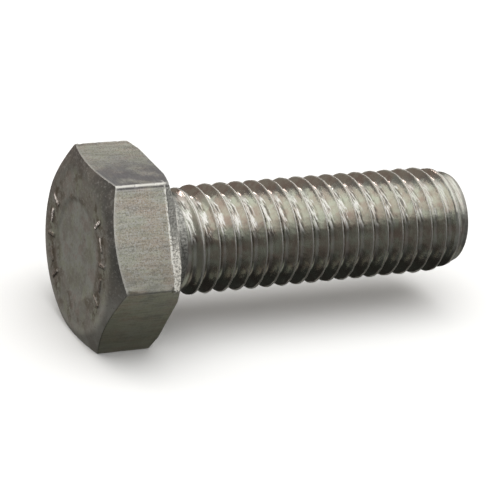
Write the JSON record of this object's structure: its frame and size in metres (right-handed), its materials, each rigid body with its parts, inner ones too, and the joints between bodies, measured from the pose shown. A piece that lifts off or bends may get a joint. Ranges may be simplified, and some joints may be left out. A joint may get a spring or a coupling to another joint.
{
  "type": "hex bolt",
  "caption": "Hexagon head bolt with a chamfered head, a washer face and a right-hand metric thread over the whole length of its shank.",
  "frame": {"origin": "centre of the seat under the head, on the bolt's axis", "axes": "+X along the bolt's axis from the seat to the tip, so the head is on the -X side; +Z square to one pair of the hexagon's flats, +Y through a pair of its corners"},
  "size_m": [0.0306, 0.015, 0.013],
  "materials": {
    "stainless": "cold-formed stainless steel, drawn along the flats, with a rolled thread"
  },
  "bodies": {
    "root": {"hex_bolt": "stainless"}
  },
  "joints": []
}
